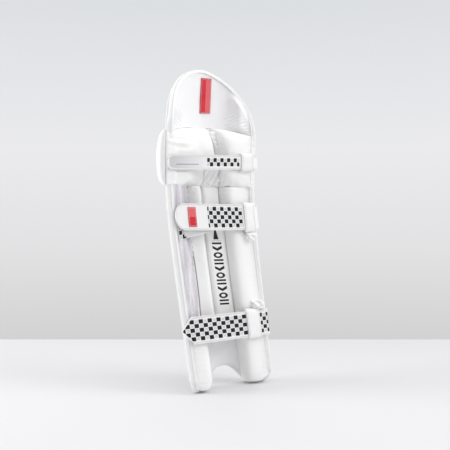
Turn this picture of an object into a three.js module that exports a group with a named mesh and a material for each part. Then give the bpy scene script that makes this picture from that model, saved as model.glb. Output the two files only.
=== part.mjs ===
// Cricket batting pad, seen and worn from behind: a padded shell that wraps round the shin and knee, with
// cane-filled front bolsters, knee rolls, inner cushions and three hook-and-loop straps.
// Millimetres. +Z is up, -Y is the wearer's side, +Y the side that faces the bowler, +X to the right from behind.
import * as THREE from "three";

// The shell is cut flat and wrapped round a vertical cylinder, so most pieces are set out in pattern
// coordinates: s along the arc from the centre line, z up, n outwards from the foam board's back face.
const WRAP_RADIUS = 125;
const BASE_HALF_WIDTH = 112;
const KNEE_HALF_WIDTH = 122;
const SHOULDER_Z = 545;
const CROWN_HEIGHT = 134;
const CROWN_POWER = 1.72;

// The centre line leans sideways and a little forwards up to the knee, then the top flap comes back.
const LEAN_X = -54;
const LEAN_Y = 16;
const LEAN_TOP_Z = 400;
const LEAN_SOFTNESS = 35;
const CROWN_SWAY_Y = -16;
const CROWN_SWAY_FROM_Z = 430;
const CROWN_SWAY_SPAN = 270;

// Instep arch between the two feet of the shell, and the rounded outer corners of those feet.
const BINDING_DROP = 5.6;
const BINDING_GAP = 1;
const SHELL_COLUMNS = 24;
const CROWN_STEPS = 16;
const SIDE_STEPS = 10;
const ARCH_CENTRE_S = 10;
const ARCH_HALF_WIDTH = 55;
const ARCH_HEIGHT = 39;
const ARCH_STEEPNESS = { left: 0.8, right: 2.2 };
const CORNER_FROM_S = 90;
const CORNER_RISE = 20;

// Layers of the shell, as spans of n.
const LINING_N = [-1.8, -0.3];
const BOARD_N = [0, 8];
const FACE_N = [8.3, 9.5];
const FLAP_BOARD_N = [0, 4.5];
const FLAP_FACE_N = [4.8, 6];
const EDGING_BACK_N = -2.4;
const EDGING_PROUD = 0.7;
const CUSHION_BASE_N = -2.6;
const BOLSTER_BASE_N = 10;

const BOLSTER_COUNT = 7;
const BOLSTER_PITCH = 24;
const BOLSTER_HALF_WIDTH = 11.5;
const BOLSTER_HEIGHTS = [12, 15, 17, 18, 17, 15, 12];
const BOLSTER_TOP_Z = 426;
const CANE_RADIUS = 3.4;
const CANE_BORE_RADIUS = 3.9;
const CANE_N = BOLSTER_BASE_N + 5.6;

const KNEE_BOTTOM_Z = 431;
const KNEE_ROLL_NAMES = ["lower", "middle", "upper"];
const KNEE_ROLL_PITCH = 36.5;
const KNEE_ROLL_HALF_HEIGHT = 17.6;
const KNEE_ROLL_HALF_LENGTH = 92;
const KNEE_ROLL_HEIGHT = 25;
const SIDE_PAD_BASE_N = 11.4;
const SEAM_CROWN_Z = 561;
const SEAM_CROWN_S = 10;
const SEAM_DROP = 22;
const SEAM_GAP = 1;

const SHIN_TOP_Z = 428;

// Each strap lies in a flat plane across the back. Its plane is the y of the band's front face, and these
// layers are measured from it: the keeper's bridge, the band, the hooks, the loop pile and the under-strap.
const KEEPER_LAYER = [-6.2, -3.2];
const STRAP_LAYER = [-2.5, 0];
const HOOK_LAYER = [0.4, 1.4];
const LOOP_LAYER = [1.8, 2.8];
const TAB_LAYER = [3.2, 5.2];
const KEEPER_FOOT = 2.4;
const CUSHION_CLEARANCE = 6;
const HINGE_CLEARANCE = 3;
const TAB_LENGTH = 82;
const TAB_START_SHARE = 0.78;

const STRAPS = [
  {
    name: "top_strap", z: 481.5, width: 30, rise: 0.05, plane: -62, hinge: 59, keeper: [68, 99], tip: -115,
    point: false, tabRise: 0.05, tabDrop: 0,
  },
  {
    name: "middle_strap", z: 365, width: 55, rise: 0, plane: -59.8, hinge: 63, keeper: [72, 100], tip: -102,
    point: false, tabRise: 0.2, tabDrop: 11,
  },
  {
    name: "bottom_strap", z: 135, width: 56, rise: 0.005, plane: -57.2, hinge: 37, keeper: [46, 81], tip: -116,
    point: true, tabRise: 0.005, tabDrop: 0,
  },
];

const COLOURS = {
  white: 0xf4f4f2,
  lining: 0xefeff0,
  mesh: 0xdfdce6,
  foam: 0xd9d6c4,
  cane: 0xcaa66a,
  red: 0xd8232f,
  check: 0x4a4a4c,
  hook: 0xe4e4e4,
};

const group = new THREE.Group();

function add(name, geometry, colour, roughness = 0.6) {
  const material = new THREE.MeshStandardMaterial({ color: COLOURS[colour], roughness, metalness: 0 });
  const mesh = new THREE.Mesh(geometry, material);
  mesh.name = name;
  group.add(mesh);
  return mesh;
}

const clamp01 = (t) => Math.min(1, Math.max(0, t));
const smooth = (t) => clamp01(t) ** 2 * (3 - 2 * clamp01(t));
const mix = (a, b, t) => a + (b - a) * t;

// Share of the full lean at a height: it grows evenly up the shin and levels off softly at the knee.
function leanShare(z) {
  const k = LEAN_SOFTNESS;
  return (-k * Math.log(Math.exp(-z / k) + Math.exp(-LEAN_TOP_Z / k))) / LEAN_TOP_Z;
}

function centreX(z) {
  return LEAN_X * leanShare(z);
}

function centreY(z) {
  const sway = clamp01((z - CROWN_SWAY_FROM_Z) / CROWN_SWAY_SPAN) ** 1.5;
  return LEAN_Y * leanShare(z) + CROWN_SWAY_Y * sway;
}

// A point of the upright, unleaned pad to its place on the leaning one.
function leaned(x, y, z) {
  return new THREE.Vector3(x + centreX(z), y + centreY(z), z);
}

// Pattern coordinates to space.
function wrapped(s, n, z) {
  const angle = s / WRAP_RADIUS;
  const radius = WRAP_RADIUS + n;
  return leaned(radius * Math.sin(angle), radius * Math.cos(angle) - WRAP_RADIUS, z);
}

function halfWidth(z) {
  return mix(BASE_HALF_WIDTH, KNEE_HALF_WIDTH, clamp01(z / SHOULDER_Z));
}

// Lower edge of the shell: two feet with rounded outer corners and the instep arch between them.
function lowerEdge(s) {
  const t = clamp01(Math.abs(s - ARCH_CENTRE_S) / ARCH_HALF_WIDTH);
  const arch = ARCH_HEIGHT * (1 - t ** 2.5) ** ARCH_STEEPNESS[s < ARCH_CENTRE_S ? "left" : "right"];
  const corner = CORNER_RISE * clamp01((Math.abs(s) - CORNER_FROM_S) / (BASE_HALF_WIDTH - CORNER_FROM_S)) ** 2.4;
  return BINDING_DROP + arch + corner;
}

// Seam between the knee section and the top flap.
function seamZ(s) {
  return SEAM_CROWN_Z - SEAM_DROP * ((s - SEAM_CROWN_S) / KNEE_HALF_WIDTH) ** 2;
}

// Crown outline at an angle from 0 (left shoulder) to pi (right shoulder).
function crownPoint(angle) {
  const c = Math.cos(angle);
  const s = -KNEE_HALF_WIDTH * Math.sign(c) * Math.abs(c) ** (2 / CROWN_POWER);
  return { s, z: SHOULDER_Z + CROWN_HEIGHT * Math.sin(angle) ** (2 / CROWN_POWER) };
}

// Depth n at which the wrapped surface meets the flat plane y across the back of the pad.
function chordN(s, y) {
  return (WRAP_RADIUS + y) / Math.cos(s / WRAP_RADIUS) - WRAP_RADIUS;
}

// A block of cells whose corners (a, b, c), each 0 to 1, are moved by place() to their position.
function shaped(cells, place) {
  const geometry = new THREE.BoxGeometry(1, 1, 1, ...cells);
  const position = geometry.getAttribute("position");
  for (let i = 0; i < position.count; i += 1) {
    const p = place(position.getX(i) + 0.5, position.getY(i) + 0.5, position.getZ(i) + 0.5);
    position.setXYZ(i, p.x, p.y, p.z);
  }
  geometry.deleteAttribute("normal");
  geometry.deleteAttribute("uv");
  return geometry;
}

// One layer of the shin and knee section.
function shinLayer([nBack, nFront]) {
  return shaped([SHELL_COLUMNS, 1, 10], (a, b, c) => {
    const share = 2 * a - 1;
    const bottom = lowerEdge(share * BASE_HALF_WIDTH);
    const z = mix(bottom, seamZ(share * KNEE_HALF_WIDTH) - SEAM_GAP, c);
    return wrapped(share * halfWidth(z), mix(nBack, nFront, b), z);
  });
}

// One layer of the top flap.
function flapLayer([nBack, nFront]) {
  return shaped([CROWN_STEPS, 1, 4], (a, b, c) => {
    const crown = crownPoint(Math.PI * a);
    return wrapped(crown.s, mix(nBack, nFront, b), mix(seamZ(crown.s), crown.z, c));
  });
}

// Rounded profile across a cushion: thin at its seams, full in the middle. Higher power means squarer.
function pillow(t, power, rim) {
  return Math.max(rim, (1 - Math.abs(2 * t - 1) ** power) ** (1 / power));
}

// A soft cushion on the inner face. edges(z) gives its left and right s, ends(s) its lower and upper z, and
// depth(s) how far it stands off the lining.
function cushion(cells, edges, ends, depth, power = 2.6, endPower = 8) {
  const rim = 0.22;
  return shaped(cells, (a, b, c) => {
    const [bottom, top] = ends(a);
    const z = mix(bottom, top, c);
    const [left, right] = edges(z);
    const s = mix(left, right, a);
    const full = pillow(a, power, rim) * pillow(c, endPower, rim);
    return wrapped(s, CUSHION_BASE_N - (1 - b) * depth(s) * full, z);
  });
}

// A bar whose cross-section is carried along a path: at(a) gives the point {s, z} and its outward direction,
// out the reach of its two sides, and front(z) its front face.
function edgeBar(count, at, out, front) {
  return shaped([count, 1, 1], (a, b, c) => {
    const p = at(a);
    const reach = mix(out[0], out[1], c);
    return wrapped(p.s + p.es * reach, mix(EDGING_BACK_N, front(p.z), b), p.z + p.ez * reach);
  });
}

// Adds the outward direction to a path of pattern points; side is 1 where outwards is to the left of travel.
function withNormals(path, side) {
  const step = 1e-3;
  return (t) => {
    const here = path(t);
    const before = path(Math.max(0, t - step));
    const after = path(Math.min(1, t + step));
    const ds = after.s - before.s;
    const dz = after.z - before.z;
    const length = Math.hypot(ds, dz);
    return { ...here, es: (-side * dz) / length, ez: (side * ds) / length };
  };
}

function addShell() {
  add("inner_lining", shinLayer(LINING_N), "lining", 0.8);
  add("shin_foam_board", shinLayer(BOARD_N), "foam", 0.9);
  add("front_face", shinLayer(FACE_N), "white", 0.5);
  add("top_flap_lining", flapLayer(LINING_N), "lining", 0.6);
  add("top_flap_foam_board", flapLayer(FLAP_BOARD_N), "foam", 0.9);
  add("top_flap_face", flapLayer(FLAP_FACE_N), "white", 0.5);
}

// Outline of the sides and crown, from the left foot over the top to the right foot.
function outline(t) {
  const sideShare = SIDE_STEPS / (2 * SIDE_STEPS + CROWN_STEPS);
  const footZ = lowerEdge(BASE_HALF_WIDTH) + 1;
  if (t < sideShare) {
    const z = mix(footZ, SHOULDER_Z, t / sideShare);
    return { s: -halfWidth(z), z };
  }
  if (t > 1 - sideShare) {
    const z = mix(footZ, SHOULDER_Z, (1 - t) / sideShare);
    return { s: halfWidth(z), z };
  }
  return crownPoint((Math.PI * (t - sideShare)) / (1 - 2 * sideShare));
}

function addEdging() {
  const front = (z) => mix(FACE_N[1], FLAP_FACE_N[1], smooth((z - SHOULDER_Z) / 30)) + EDGING_PROUD;
  const steps = 2 * SIDE_STEPS + CROWN_STEPS;
  add("edge_piping", edgeBar(steps, withNormals(outline, 1), [0.6, 5.6], front), "white", 0.5);
  const bottom = (t) => {
    const s = mix(-BASE_HALF_WIDTH, BASE_HALF_WIDTH, t);
    return { s, z: lowerEdge(s) };
  };
  const reach = [BINDING_DROP, BINDING_GAP];
  add("instep_binding", edgeBar(SHELL_COLUMNS, withNormals(bottom, -1), reach, front), "white", 0.5);
}

// Front bolsters: a half-round cover stitched to the face, each with a split-cane rod in its sleeve.
function addFrontBolsters() {
  for (let i = 0; i < BOLSTER_COUNT; i += 1) {
    const s = (i - (BOLSTER_COUNT - 1) / 2) * BOLSTER_PITCH;
    const bottom = Math.max(lowerEdge(s - BOLSTER_HALF_WIDTH), lowerEdge(s + BOLSTER_HALF_WIDTH), lowerEdge(s)) + 3;
    const profile = new THREE.Shape();
    profile.moveTo(-BOLSTER_HALF_WIDTH, 0);
    profile.lineTo(BOLSTER_HALF_WIDTH, 0);
    const height = BOLSTER_HEIGHTS[i];
    const shoulder = height * 0.42;
    profile.lineTo(BOLSTER_HALF_WIDTH, shoulder);
    profile.absellipse(0, shoulder, BOLSTER_HALF_WIDTH, height - shoulder, 0, Math.PI, false);
    profile.lineTo(-BOLSTER_HALF_WIDTH, 0);
    const sleeve = new THREE.Path();
    sleeve.absarc(0, CANE_N - BOLSTER_BASE_N, CANE_BORE_RADIUS, 0, 2 * Math.PI, true);
    profile.holes.push(sleeve);
    add(`front_bolster_${i + 1}`, standing(profile, s, BOLSTER_BASE_N, bottom, BOLSTER_TOP_Z, 4), "white", 0.5);
    const rod = new THREE.Shape();
    rod.absarc(0, 0, CANE_RADIUS, 0, 2 * Math.PI, false);
    add(`cane_rod_${i + 1}`, standing(rod, s, CANE_N, bottom + 4, BOLSTER_TOP_Z - 4, 4), "cane", 0.7);
  }
}

// A profile drawn in s and n, carried up the shell from one height to another.
function standing(profile, s, n, bottom, top, curveSegments) {
  const height = top - bottom;
  const steps = Math.max(4, Math.round(height / 60));
  const geometry = new THREE.ExtrudeGeometry(profile, { depth: 1, steps, bevelEnabled: false, curveSegments });
  const position = geometry.getAttribute("position");
  for (let i = 0; i < position.count; i += 1) {
    const z = bottom + position.getZ(i) * height;
    const base = wrapped(s, n, z);
    const angle = s / WRAP_RADIUS;
    const across = position.getX(i);
    const out = position.getY(i);
    base.x += across * Math.cos(angle) + out * Math.sin(angle);
    base.y += out * Math.cos(angle) - across * Math.sin(angle);
    position.setXYZ(i, base.x, base.y, base.z);
  }
  geometry.deleteAttribute("normal");
  geometry.deleteAttribute("uv");
  return geometry;
}

// Knee rolls run across the front; each has a foam core inside its half-round cover.
function addKneeRolls() {
  KNEE_ROLL_NAMES.forEach((level, i) => {
    const centre = KNEE_BOTTOM_Z + KNEE_ROLL_HALF_HEIGHT + i * KNEE_ROLL_PITCH;
    add(`knee_roll_${level}`, lyingRoll(centre), "white", 0.5);
    add(`knee_roll_core_${level}`, lyingCore(centre), "foam", 0.9);
  });
}

// Cover of a knee roll: a half-round tube, open at both ends.
function lyingRoll(centre) {
  const profile = new THREE.Shape();
  profile.moveTo(-KNEE_ROLL_HALF_HEIGHT, 0);
  profile.lineTo(KNEE_ROLL_HALF_HEIGHT, 0);
  profile.absellipse(0, 8, KNEE_ROLL_HALF_HEIGHT, KNEE_ROLL_HEIGHT - 8, 0, Math.PI, false);
  profile.lineTo(-KNEE_ROLL_HALF_HEIGHT, 0);
  const inside = new THREE.Path();
  inside.absellipse(0, KNEE_ROLL_HEIGHT * 0.46, 12.5, 9, 0, 2 * Math.PI, true);
  profile.holes.push(inside);
  return lying(profile, centre, 4, 14);
}

function lyingCore(centre) {
  const profile = new THREE.Shape();
  profile.absellipse(0, KNEE_ROLL_HEIGHT * 0.46, 11.6, 8.1, 0, 2 * Math.PI, false);
  return lying(profile, centre, 4, 14);
}

// A profile drawn in z and n, carried across the front of the shell.
function lying(profile, centre, curveSegments, steps) {
  const geometry = new THREE.ExtrudeGeometry(profile, { depth: 1, steps, bevelEnabled: false, curveSegments });
  const position = geometry.getAttribute("position");
  for (let i = 0; i < position.count; i += 1) {
    const s = mix(KNEE_ROLL_HALF_LENGTH, -KNEE_ROLL_HALF_LENGTH, position.getZ(i));
    const p = wrapped(s, BOLSTER_BASE_N + position.getY(i), centre + position.getX(i));
    position.setXYZ(i, p.x, p.y, p.z);
  }
  geometry.deleteAttribute("normal");
  geometry.deleteAttribute("uv");
  return geometry;
}

// Smooth pads that close the ends of the knee rolls; the left one bulges past the side of the shell.
function addKneeSides() {
  for (const [name, side, far, height] of [["left", -1, KNEE_HALF_WIDTH + 4, 22], ["right", 1, 109, 15]]) {
    const near = KNEE_ROLL_HALF_LENGTH + 1;
    const geometry = shaped([5, 1, 8], (a, b, c) => {
      const along = side > 0 ? a : 1 - a;
      const s = side * mix(near, far, along);
      const z = mix(KNEE_BOTTOM_Z, SHOULDER_Z - 2, c);
      const full = pillow(c, 3, 0.3) * mix(1, 0.7, along ** 3);
      return wrapped(s, mix(SIDE_PAD_BASE_N, SIDE_PAD_BASE_N + height * full, b), z);
    });
    add(`knee_side_pad_${name}`, geometry, "white", 0.5);
  }
}

// Edges where the two inner knee cushions face each other: the left one is cut back below the top strap and
// curves over the kneecap above it.
function leftKneeEdge(z) {
  return 36 * smooth((z - 462) / 36) - 1 - 25 * clamp01((z - 495) / 63) ** 1.8;
}

function rightKneeEdge(z) {
  return 43 - 16 * clamp01((z - 495) / 63) ** 1.3;
}

function addKneeCushions() {
  const side = (z) => halfWidth(z) - 3;
  const depth = (s) => CUSHION_BASE_N - chordN(s, STRAPS[0].plane + CUSHION_CLEARANCE);
  const top = (s) => seamZ(s) - 2;
  add(
    "knee_cushion_left",
    cushion([9, 1, 10], (z) => [-side(z), leftKneeEdge(z)], (a) => [KNEE_BOTTOM_Z, top(mix(-119, 4, a))],
      (s) => Math.min(34, Math.max(7, depth(s))), 4, 5),
    "white", 0.45,
  );
  add(
    "knee_cushion_right",
    cushion([8, 1, 8], (z) => [rightKneeEdge(z), side(z)], (a) => [KNEE_BOTTOM_Z, top(mix(30, 119, a))],
      (s) => Math.min(34, Math.max(7, depth(s))), 4, 5),
    "white", 0.45,
  );
  add(
    "kneecap_gusset",
    cushion([4, 1, 10], (z) => [leftKneeEdge(z) + 3, rightKneeEdge(z) - 2], () => [KNEE_BOTTOM_Z + 1, 552],
      () => 14, 4, 5),
    "white", 0.5,
  );
}

// Left and right edges of the shin cushions; the middle ones draw together below the knee.
const calfNarrowing = (z) => smooth((z - 320) / 110);
const leftBolsterEdge = (z) => mix(-70, -48, calfNarrowing(z));
const stripRightEdge = (z) => mix(50, 43, calfNarrowing(z));

function addShinCushions() {
  const chordDepth = (s) => Math.max(7, CUSHION_BASE_N - chordN(s, STRAPS[2].plane + CUSHION_CLEARANCE));
  add(
    "ankle_bolster_left",
    cushion([6, 1, 5], () => [-BASE_HALF_WIDTH + 3, -54], () => [4.5, 115], (s) => Math.min(26, chordDepth(s)),
      2.2, 6),
    "white", 0.45,
  );
  add(
    "calf_bolster_left",
    cushion([7, 1, 8], (z) => [leftBolsterEdge(z), -5], () => [118, SHIN_TOP_Z], () => 29, 2.2, 10),
    "white", 0.45,
  );
  add(
    "shin_strip_pad",
    cushion([5, 1, 8], (z) => [-3, stripRightEdge(z)], () => [118, SHIN_TOP_Z], () => 20, 5, 12),
    "white", 0.45,
  );
  add(
    "calf_bolster_right",
    cushion([8, 1, 10], (z) => [stripRightEdge(z) + 2, halfWidth(z) - 3], () => [4.5, SHIN_TOP_Z],
      (s) => Math.min(36, chordDepth(s)), 2.6, 10),
    "white", 0.45,
  );
  add(
    "calf_wing",
    cushion([5, 1, 8], (z) => [-halfWidth(z) + 3, leftBolsterEdge(Math.min(z, 320)) - 3], () => [150, SHIN_TOP_Z],
      (s) => Math.min(14, chordDepth(s)), 4, 10),
    "mesh", 0.9,
  );
}

// A flat band in the plane across the back: x runs from start to end, halfWidthAt(x) gives its half width.
function band(cells, start, end, [back, front], strap, halfWidthAt, drop = 0, rise = strap.rise) {
  return shaped([cells, 1, 1], (a, b, c) => {
    const x = mix(start, end, a);
    const z = strap.z - drop + rise * (x - (strap.tip + strap.hinge) / 2) + (2 * c - 1) * halfWidthAt(x);
    return leaned(x, strap.plane + mix(back, front, b), z);
  });
}

// Half width of a band near its free end at tip: a round end or a point.
function endTaper(strap, tip, half) {
  const reach = strap.point ? half * 0.95 : half * 0.8;
  return (x) => {
    const t = clamp01((x - tip) / reach);
    return strap.point ? half * mix(0.08, 1, t) : half * Math.max(0.25, Math.sqrt(1 - (1 - t) ** 2));
  };
}

function addStraps() {
  for (const strap of STRAPS) {
    const half = strap.width / 2;
    const taper = endTaper(strap, strap.tip, half);
    add(strap.name, band(18, strap.tip, strap.hinge - HINGE_CLEARANCE, STRAP_LAYER, strap, taper), "check", 0.7);
    add(
      `${strap.name}_hook_patch`,
      band(4, strap.tip + 22, strap.tip + 76, HOOK_LAYER, strap, () => half - 4),
      "hook", 0.95,
    );
    addTab(strap, half);
    addAnchor(strap, half);
    addKeeper(strap, half);
  }
}

// The short strap sewn to the left edge, with the loop pile that the long strap fastens to.
function addTab(strap, half) {
  const drop = strap.tabDrop;
  const rise = strap.tabRise;
  const start = -halfWidth(strap.z) * TAB_START_SHARE;
  const plain = () => half - 1;
  add(`${strap.name}_tab`, band(6, start, start + TAB_LENGTH, TAB_LAYER, strap, plain, drop, rise), "check", 0.7);
  add(
    `${strap.name}_loop_patch`,
    band(4, start + 12, start + TAB_LENGTH - 3, LOOP_LAYER, strap, () => half - 5, drop, rise),
    "hook", 0.95,
  );
}

// The sewn end of a strap: from the keeper round the right-hand edge to the side of the front face.
function addAnchor(strap, half) {
  const flat = (s, n) => {
    const p = wrapped(s, n, strap.z).sub(leaned(0, 0, strap.z));
    return new THREE.Vector2(p.x, p.y);
  };
  const edge = halfWidth(strap.z);
  const thickness = STRAP_LAYER[1] - STRAP_LAYER[0];
  const middleY = strap.plane - thickness / 2;
  const back = flat(edge + 6, -2.4);
  const path = [
    new THREE.Vector2(strap.hinge + HINGE_CLEARANCE, middleY),
    new THREE.Vector2(back.x - 8, middleY),
    flat(edge + 8.5, -4),
    flat(edge + 9.5, 4),
    flat(edge + 9.5, 12),
  ];
  if (strap.z < KNEE_BOTTOM_Z) {
    path.push(flat(edge + 4, 16), flat(edge - 6, 13.4), flat(edge - 20, 12.7));
  }
  const offset = (i, way) => {
    const along = path[Math.min(i + 1, path.length - 1)].clone().sub(path[Math.max(i - 1, 0)]).normalize();
    return path[i].clone().add(new THREE.Vector2(-along.y, along.x).multiplyScalar((way * thickness) / 2));
  };
  const rim = [...path.keys()].map((i) => offset(i, -1)).concat([...path.keys()].reverse().map((i) => offset(i, 1)));
  const geometry = new THREE.ExtrudeGeometry(new THREE.Shape(rim), { depth: 1, steps: 2, bevelEnabled: false });
  const position = geometry.getAttribute("position");
  const middle = (strap.tip + strap.hinge) / 2;
  for (let i = 0; i < position.count; i += 1) {
    const x = position.getX(i);
    const z = strap.z + strap.rise * (Math.min(x, back.x) - middle) + (2 * position.getZ(i) - 1) * half;
    const p = leaned(x, position.getY(i), z);
    position.setXYZ(i, p.x, p.y, p.z);
  }
  geometry.deleteAttribute("normal");
  geometry.deleteAttribute("uv");
  add(`${strap.name}_anchor`, geometry, "check", 0.7);
}

// A soft loop that holds the strap near the right-hand edge: a bridge over the strap with two sewn feet.
function addKeeper(strap, half) {
  const inner = half + 1.2;
  const outer = half + 6;
  const foot = strap.plane + KEEPER_FOOT;
  const [bridgeBack, bridgeFront] = KEEPER_LAYER.map((y) => strap.plane + y);
  const bridge = new THREE.Shape(
    [[bridgeBack, -outer], [foot, -outer], [foot, -inner], [bridgeFront, -inner], [bridgeFront, inner],
      [foot, inner], [foot, outer], [bridgeBack, outer]].map(([y, z]) => new THREE.Vector2(y, z)),
  );
  const length = strap.keeper[1] - strap.keeper[0];
  const geometry = new THREE.ExtrudeGeometry(bridge, { depth: length, steps: 1, bevelEnabled: false });
  const position = geometry.getAttribute("position");
  const middle = (strap.tip + strap.hinge) / 2;
  for (let i = 0; i < position.count; i += 1) {
    const x = strap.keeper[0] + position.getZ(i);
    const z = strap.z + strap.rise * (x - middle) + position.getY(i);
    const p = leaned(x, position.getX(i), z);
    position.setXYZ(i, p.x, p.y, p.z);
  }
  geometry.deleteAttribute("normal");
  geometry.deleteAttribute("uv");
  add(`${strap.name}_keeper`, geometry, "white", 0.5);
}

// Sewn patches: one on the top flap's lining and one on the middle strap.
function addPatches() {
  const flap = shaped([4, 1, 2], (a, b, c) => wrapped(mix(-2, 25, a), mix(-3.4, -2.3, b), mix(594, 670, c)));
  add("top_flap_patch", flap, "red", 0.4);
  const strap = STRAPS[1];
  const patch = band(1, -72, -53, [STRAP_LAYER[0] - 1.3, STRAP_LAYER[0] - 0.3], strap, () => 20);
  add("middle_strap_patch", patch, "red", 0.4);
}

addShell();
addEdging();
addFrontBolsters();
addKneeRolls();
addKneeSides();
addKneeCushions();
addShinCushions();
addStraps();
addPatches();

// The origin is the middle of the base: the outer box is centred on X and Y and stands on Z = 0.
group.updateMatrixWorld(true);
const outer = new THREE.Box3().setFromObject(group);
group.position.set(-(outer.min.x + outer.max.x) / 2, -(outer.min.y + outer.max.y) / 2, -outer.min.z);

export default group;
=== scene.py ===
"""Looks of the batting pad: every soft piece, its stitching and its finish, around the solid parts.

Lengths are in millimetres until leaned() turns them into metres. The shell is wrapped round a vertical
cylinder: s runs along the arc from the centre line, z up, and n outwards from the foam board's back face.
"""
import math

import bmesh
import bpy
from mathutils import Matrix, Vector, noise
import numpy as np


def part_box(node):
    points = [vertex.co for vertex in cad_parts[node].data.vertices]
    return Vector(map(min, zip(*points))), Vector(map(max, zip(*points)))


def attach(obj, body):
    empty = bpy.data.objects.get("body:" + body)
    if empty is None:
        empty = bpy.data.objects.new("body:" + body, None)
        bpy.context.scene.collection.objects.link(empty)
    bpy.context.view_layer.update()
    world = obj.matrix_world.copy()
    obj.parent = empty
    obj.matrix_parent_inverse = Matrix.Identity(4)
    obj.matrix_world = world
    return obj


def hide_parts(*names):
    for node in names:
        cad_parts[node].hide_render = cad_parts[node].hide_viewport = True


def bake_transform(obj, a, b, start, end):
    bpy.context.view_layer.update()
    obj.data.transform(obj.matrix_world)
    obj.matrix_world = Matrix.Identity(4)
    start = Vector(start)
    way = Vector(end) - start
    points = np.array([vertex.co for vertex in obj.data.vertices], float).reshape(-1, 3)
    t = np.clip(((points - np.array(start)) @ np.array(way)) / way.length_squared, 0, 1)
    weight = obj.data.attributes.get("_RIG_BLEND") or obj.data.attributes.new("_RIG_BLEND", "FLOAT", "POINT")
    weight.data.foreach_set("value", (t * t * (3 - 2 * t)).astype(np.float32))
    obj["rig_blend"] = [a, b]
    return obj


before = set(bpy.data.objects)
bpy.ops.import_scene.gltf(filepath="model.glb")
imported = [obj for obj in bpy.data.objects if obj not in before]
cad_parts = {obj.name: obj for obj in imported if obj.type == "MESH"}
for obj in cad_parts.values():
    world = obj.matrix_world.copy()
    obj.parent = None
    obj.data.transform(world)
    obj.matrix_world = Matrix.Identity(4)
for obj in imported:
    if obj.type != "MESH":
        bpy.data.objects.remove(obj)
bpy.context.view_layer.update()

MM = 0.001
WRAP_RADIUS = 125.0
BASE_HALF_WIDTH = 112.0
KNEE_HALF_WIDTH = 122.0
SHOULDER_Z = 545.0
CROWN_HEIGHT = 134.0
CROWN_POWER = 1.72
LEAN_X = -54.0
LEAN_Y = 16.0
LEAN_TOP_Z = 400.0
LEAN_SOFTNESS = 35.0
CROWN_SWAY_Y = -16.0
CROWN_SWAY_FROM_Z = 430.0
CROWN_SWAY_SPAN = 270.0
SIDE_SHARE = 0.36

# Where the solid model's top flap patch lies, from which the model's shift is read.
PATCH_S = (-2, 25)
PATCH_N = (-3.4, -2.3)
PATCH_Z = (594, 670)

BINDING_DROP = 5.6
ARCH_CENTRE_S = 10.0
ARCH_HALF_WIDTH = 55.0
ARCH_HEIGHT = 39.0
CORNER_FROM_S = 90.0
CORNER_RISE = 20.0
SEAM_CROWN_Z = 561.0
SEAM_CROWN_S = 10.0
SEAM_DROP = 22.0

LINING_BACK_N = -1.8
LINING_FRONT_N = -0.3
CUSHION_BASE_N = -2.4
FACE_N = 9.5
FLAP_FACE_N = 6.0
BOLSTER_BASE_N = 10.0
KNEE_BOTTOM_Z = 431.0
GUSSET_TOP_Z = 552.0
CUSHION_TOP_Z = 434.0
CALF_FOOT_Z = 112.0
ANKLE_TOP_Z = 115.0
WING_FOOT_Z = 150.0
WING_EDGE_S = -74.5
STRIP_LEFT_S = -3.0
STRIP_MIDDLE_S = 22.0
BOLSTER_PITCH = 24.0
BOLSTER_HALF_WIDTH = 11.6
BOLSTER_TOP_Z = 426.0
BOLSTER_HEIGHTS = (12, 15, 17, 18, 17, 15, 12)
KNEE_ROLL_PITCH = 36.5
KNEE_ROLL_HALF_HEIGHT = 17.6
KNEE_ROLL_HALF_LENGTH = 92.0
KNEE_ROLL_DEPTH = 23.6

TOP_STRAP_Z = 480.0
MIDDLE_STRAP_Z = 366.5
BOTTOM_STRAP_Z = 135.0
STRAP_THICKNESS = 2.4
STRAP_CROWDING = 1.25
KEEPER_HALF_THICKNESS = 1.1
TAB_LENGTH = 82.0
CHECK_PITCH = 8.7
STRIP_PITCH = 14.6
STRIP_PRINT_HALF_WIDTH = 13.5
THREAD_PITCH = 0.0011
OUTSIDE_BORDER = -9.0


def mix(a, b, t):
    return a + (b - a) * t


def clamp01(t):
    return min(1.0, max(0.0, t))


def smooth(t):
    t = clamp01(t)
    return t * t * (3 - 2 * t)


def hump(t, width):
    return math.exp(-((t / width) ** 2))


def soft_least(a, b, softness=5.0):
    """The smaller of two lengths, with the corner where they meet rounded."""
    return -softness * math.log(math.exp(-a / softness) + math.exp(-b / softness))


# ---------------- pattern space

def lean_share(z):
    """How much of the full lean is reached at a height: it grows with height, then levels off."""
    return soft_least(z, LEAN_TOP_Z, LEAN_SOFTNESS) / LEAN_TOP_Z


def centre_line(z):
    sway = clamp01((z - CROWN_SWAY_FROM_Z) / CROWN_SWAY_SPAN) ** 1.5
    return LEAN_X * lean_share(z), LEAN_Y * lean_share(z) + CROWN_SWAY_Y * sway


def upright(s, n):
    """Pattern coordinates to x and y of the pad before it leans."""
    angle = s / WRAP_RADIUS
    radius = WRAP_RADIUS + n
    return radius * math.sin(angle), radius * math.cos(angle) - WRAP_RADIUS


def frame_shift():
    """How far the model was moved sideways to centre its box, read from the patch on the top flap."""
    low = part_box("top_flap_patch")[0] / MM
    corners = [(s, n, z) for s in PATCH_S for n in PATCH_N for z in PATCH_Z]
    xs = [upright(s, n)[0] + centre_line(z)[0] for s, n, z in corners]
    ys = [upright(s, n)[1] + centre_line(z)[1] for s, n, z in corners]
    return low.x - min(xs), low.y - min(ys)


SHIFT_X, SHIFT_Y = frame_shift()


def leaned(x, y, z):
    """A point of the upright pad in millimetres to its place in metres."""
    cx, cy = centre_line(z)
    return Vector(((x + cx + SHIFT_X) * MM, (y + cy + SHIFT_Y) * MM, z * MM))


def wrapped(s, n, z):
    x, y = upright(s, n)
    return leaned(x, y, z)


def half_width(z):
    return mix(BASE_HALF_WIDTH, KNEE_HALF_WIDTH, clamp01(z / SHOULDER_Z))


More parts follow.
